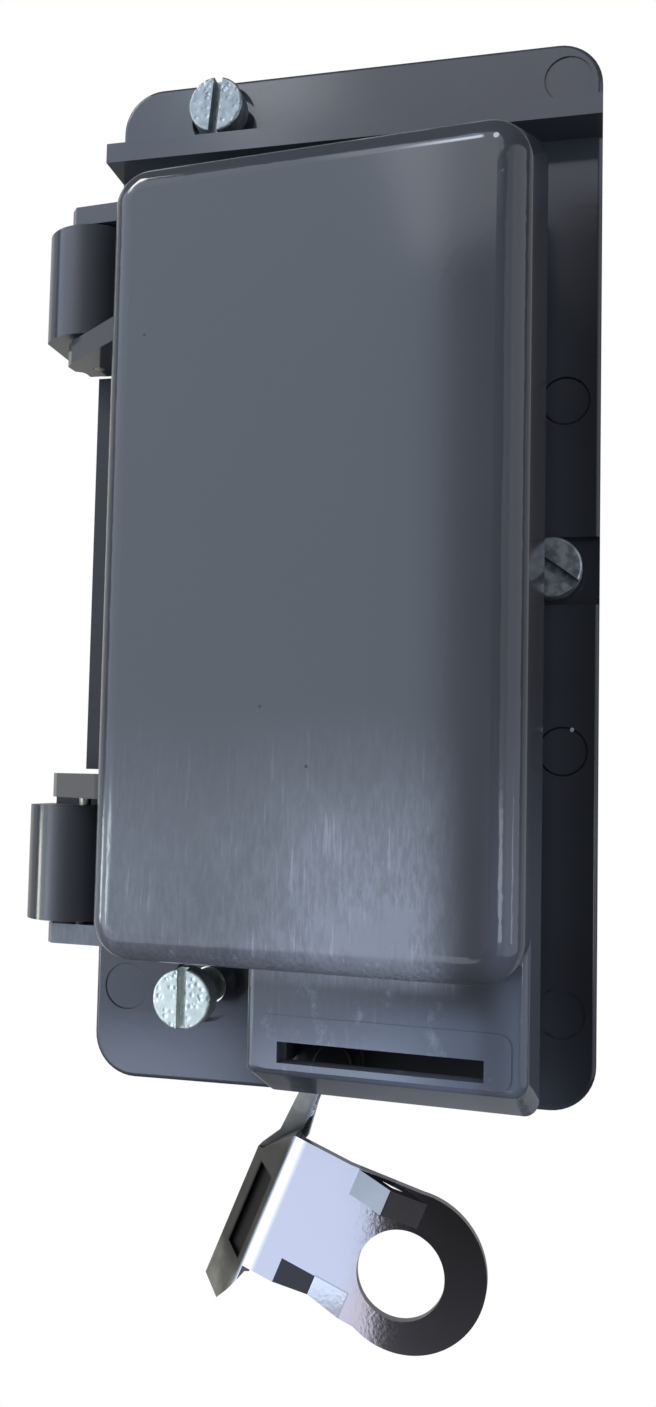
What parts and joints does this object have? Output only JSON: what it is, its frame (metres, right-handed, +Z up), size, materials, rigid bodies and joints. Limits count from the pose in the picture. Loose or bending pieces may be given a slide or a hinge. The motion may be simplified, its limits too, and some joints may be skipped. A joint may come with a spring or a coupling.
{
  "type": "electric meter box",
  "caption": "Flat wall-mounted electric box with a hinged deep cover, rain ledge, slotted wall screws and a hanging steel locking hasp.",
  "frame": {"origin": "centre of the base plate's back face, which lies on the wall", "axes": "+X to the right as seen from the front, +Y into the wall, +Z up; the cover faces -Y"},
  "size_m": [0.0953, 0.0363, 0.2162],
  "materials": {
    "grey_plastic": "satin",
    "cover_plastic": "satin",
    "zinc_steel": "satin",
    "pin_steel": "polished",
    "chromed_sheet": "polished",
    "block_plastic": "matt",
    "brass": "satin",
    "black_rubber": "matt"
  },
  "bodies": {
    "base": {"base": "grey_plastic", "upper_hinge_pin": "pin_steel", "lower_hinge_pin": "pin_steel", "top_wall_screw": "zinc_steel", "right_wall_screw": "zinc_steel", "bottom_wall_screw": "zinc_steel", "hasp_rivet": "zinc_steel", "hasp_washer": "zinc_steel", "terminal_block": "block_plastic", "cable_grommet": "black_rubber", "block_screw_left": "zinc_steel", "block_screw_right": "zinc_steel", "brass_terminal_1": "brass", "clamp_screw_lower_1": "zinc_steel", "clamp_screw_upper_1": "zinc_steel", "brass_terminal_2": "brass", "clamp_screw_lower_2": "zinc_steel", "clamp_screw_upper_2": "zinc_steel", "brass_terminal_3": "brass", "clamp_screw_lower_3": "zinc_steel", "clamp_screw_upper_3": "zinc_steel", "brass_terminal_4": "brass", "clamp_screw_lower_4": "zinc_steel", "clamp_screw_upper_4": "zinc_steel"},
    "cover": {"cover": "cover_plastic"},
    "hasp": {"hasp": "chromed_sheet"}
  },
  "joints": [
    {"name": "cover_hinge", "type": "hinge", "parent": "base", "child": "cover", "pos_m": [-0.0423, -0.014, -0.0014], "axis": [0, 0, -1], "range_deg": [-5, 105]},
    {"name": "hasp_pivot", "type": "hinge", "parent": "base", "child": "hasp", "pos_m": [0.0007, -0.0063, -0.084], "axis": [0, 1, 0], "range_deg": [-25, 35]}
  ]
}
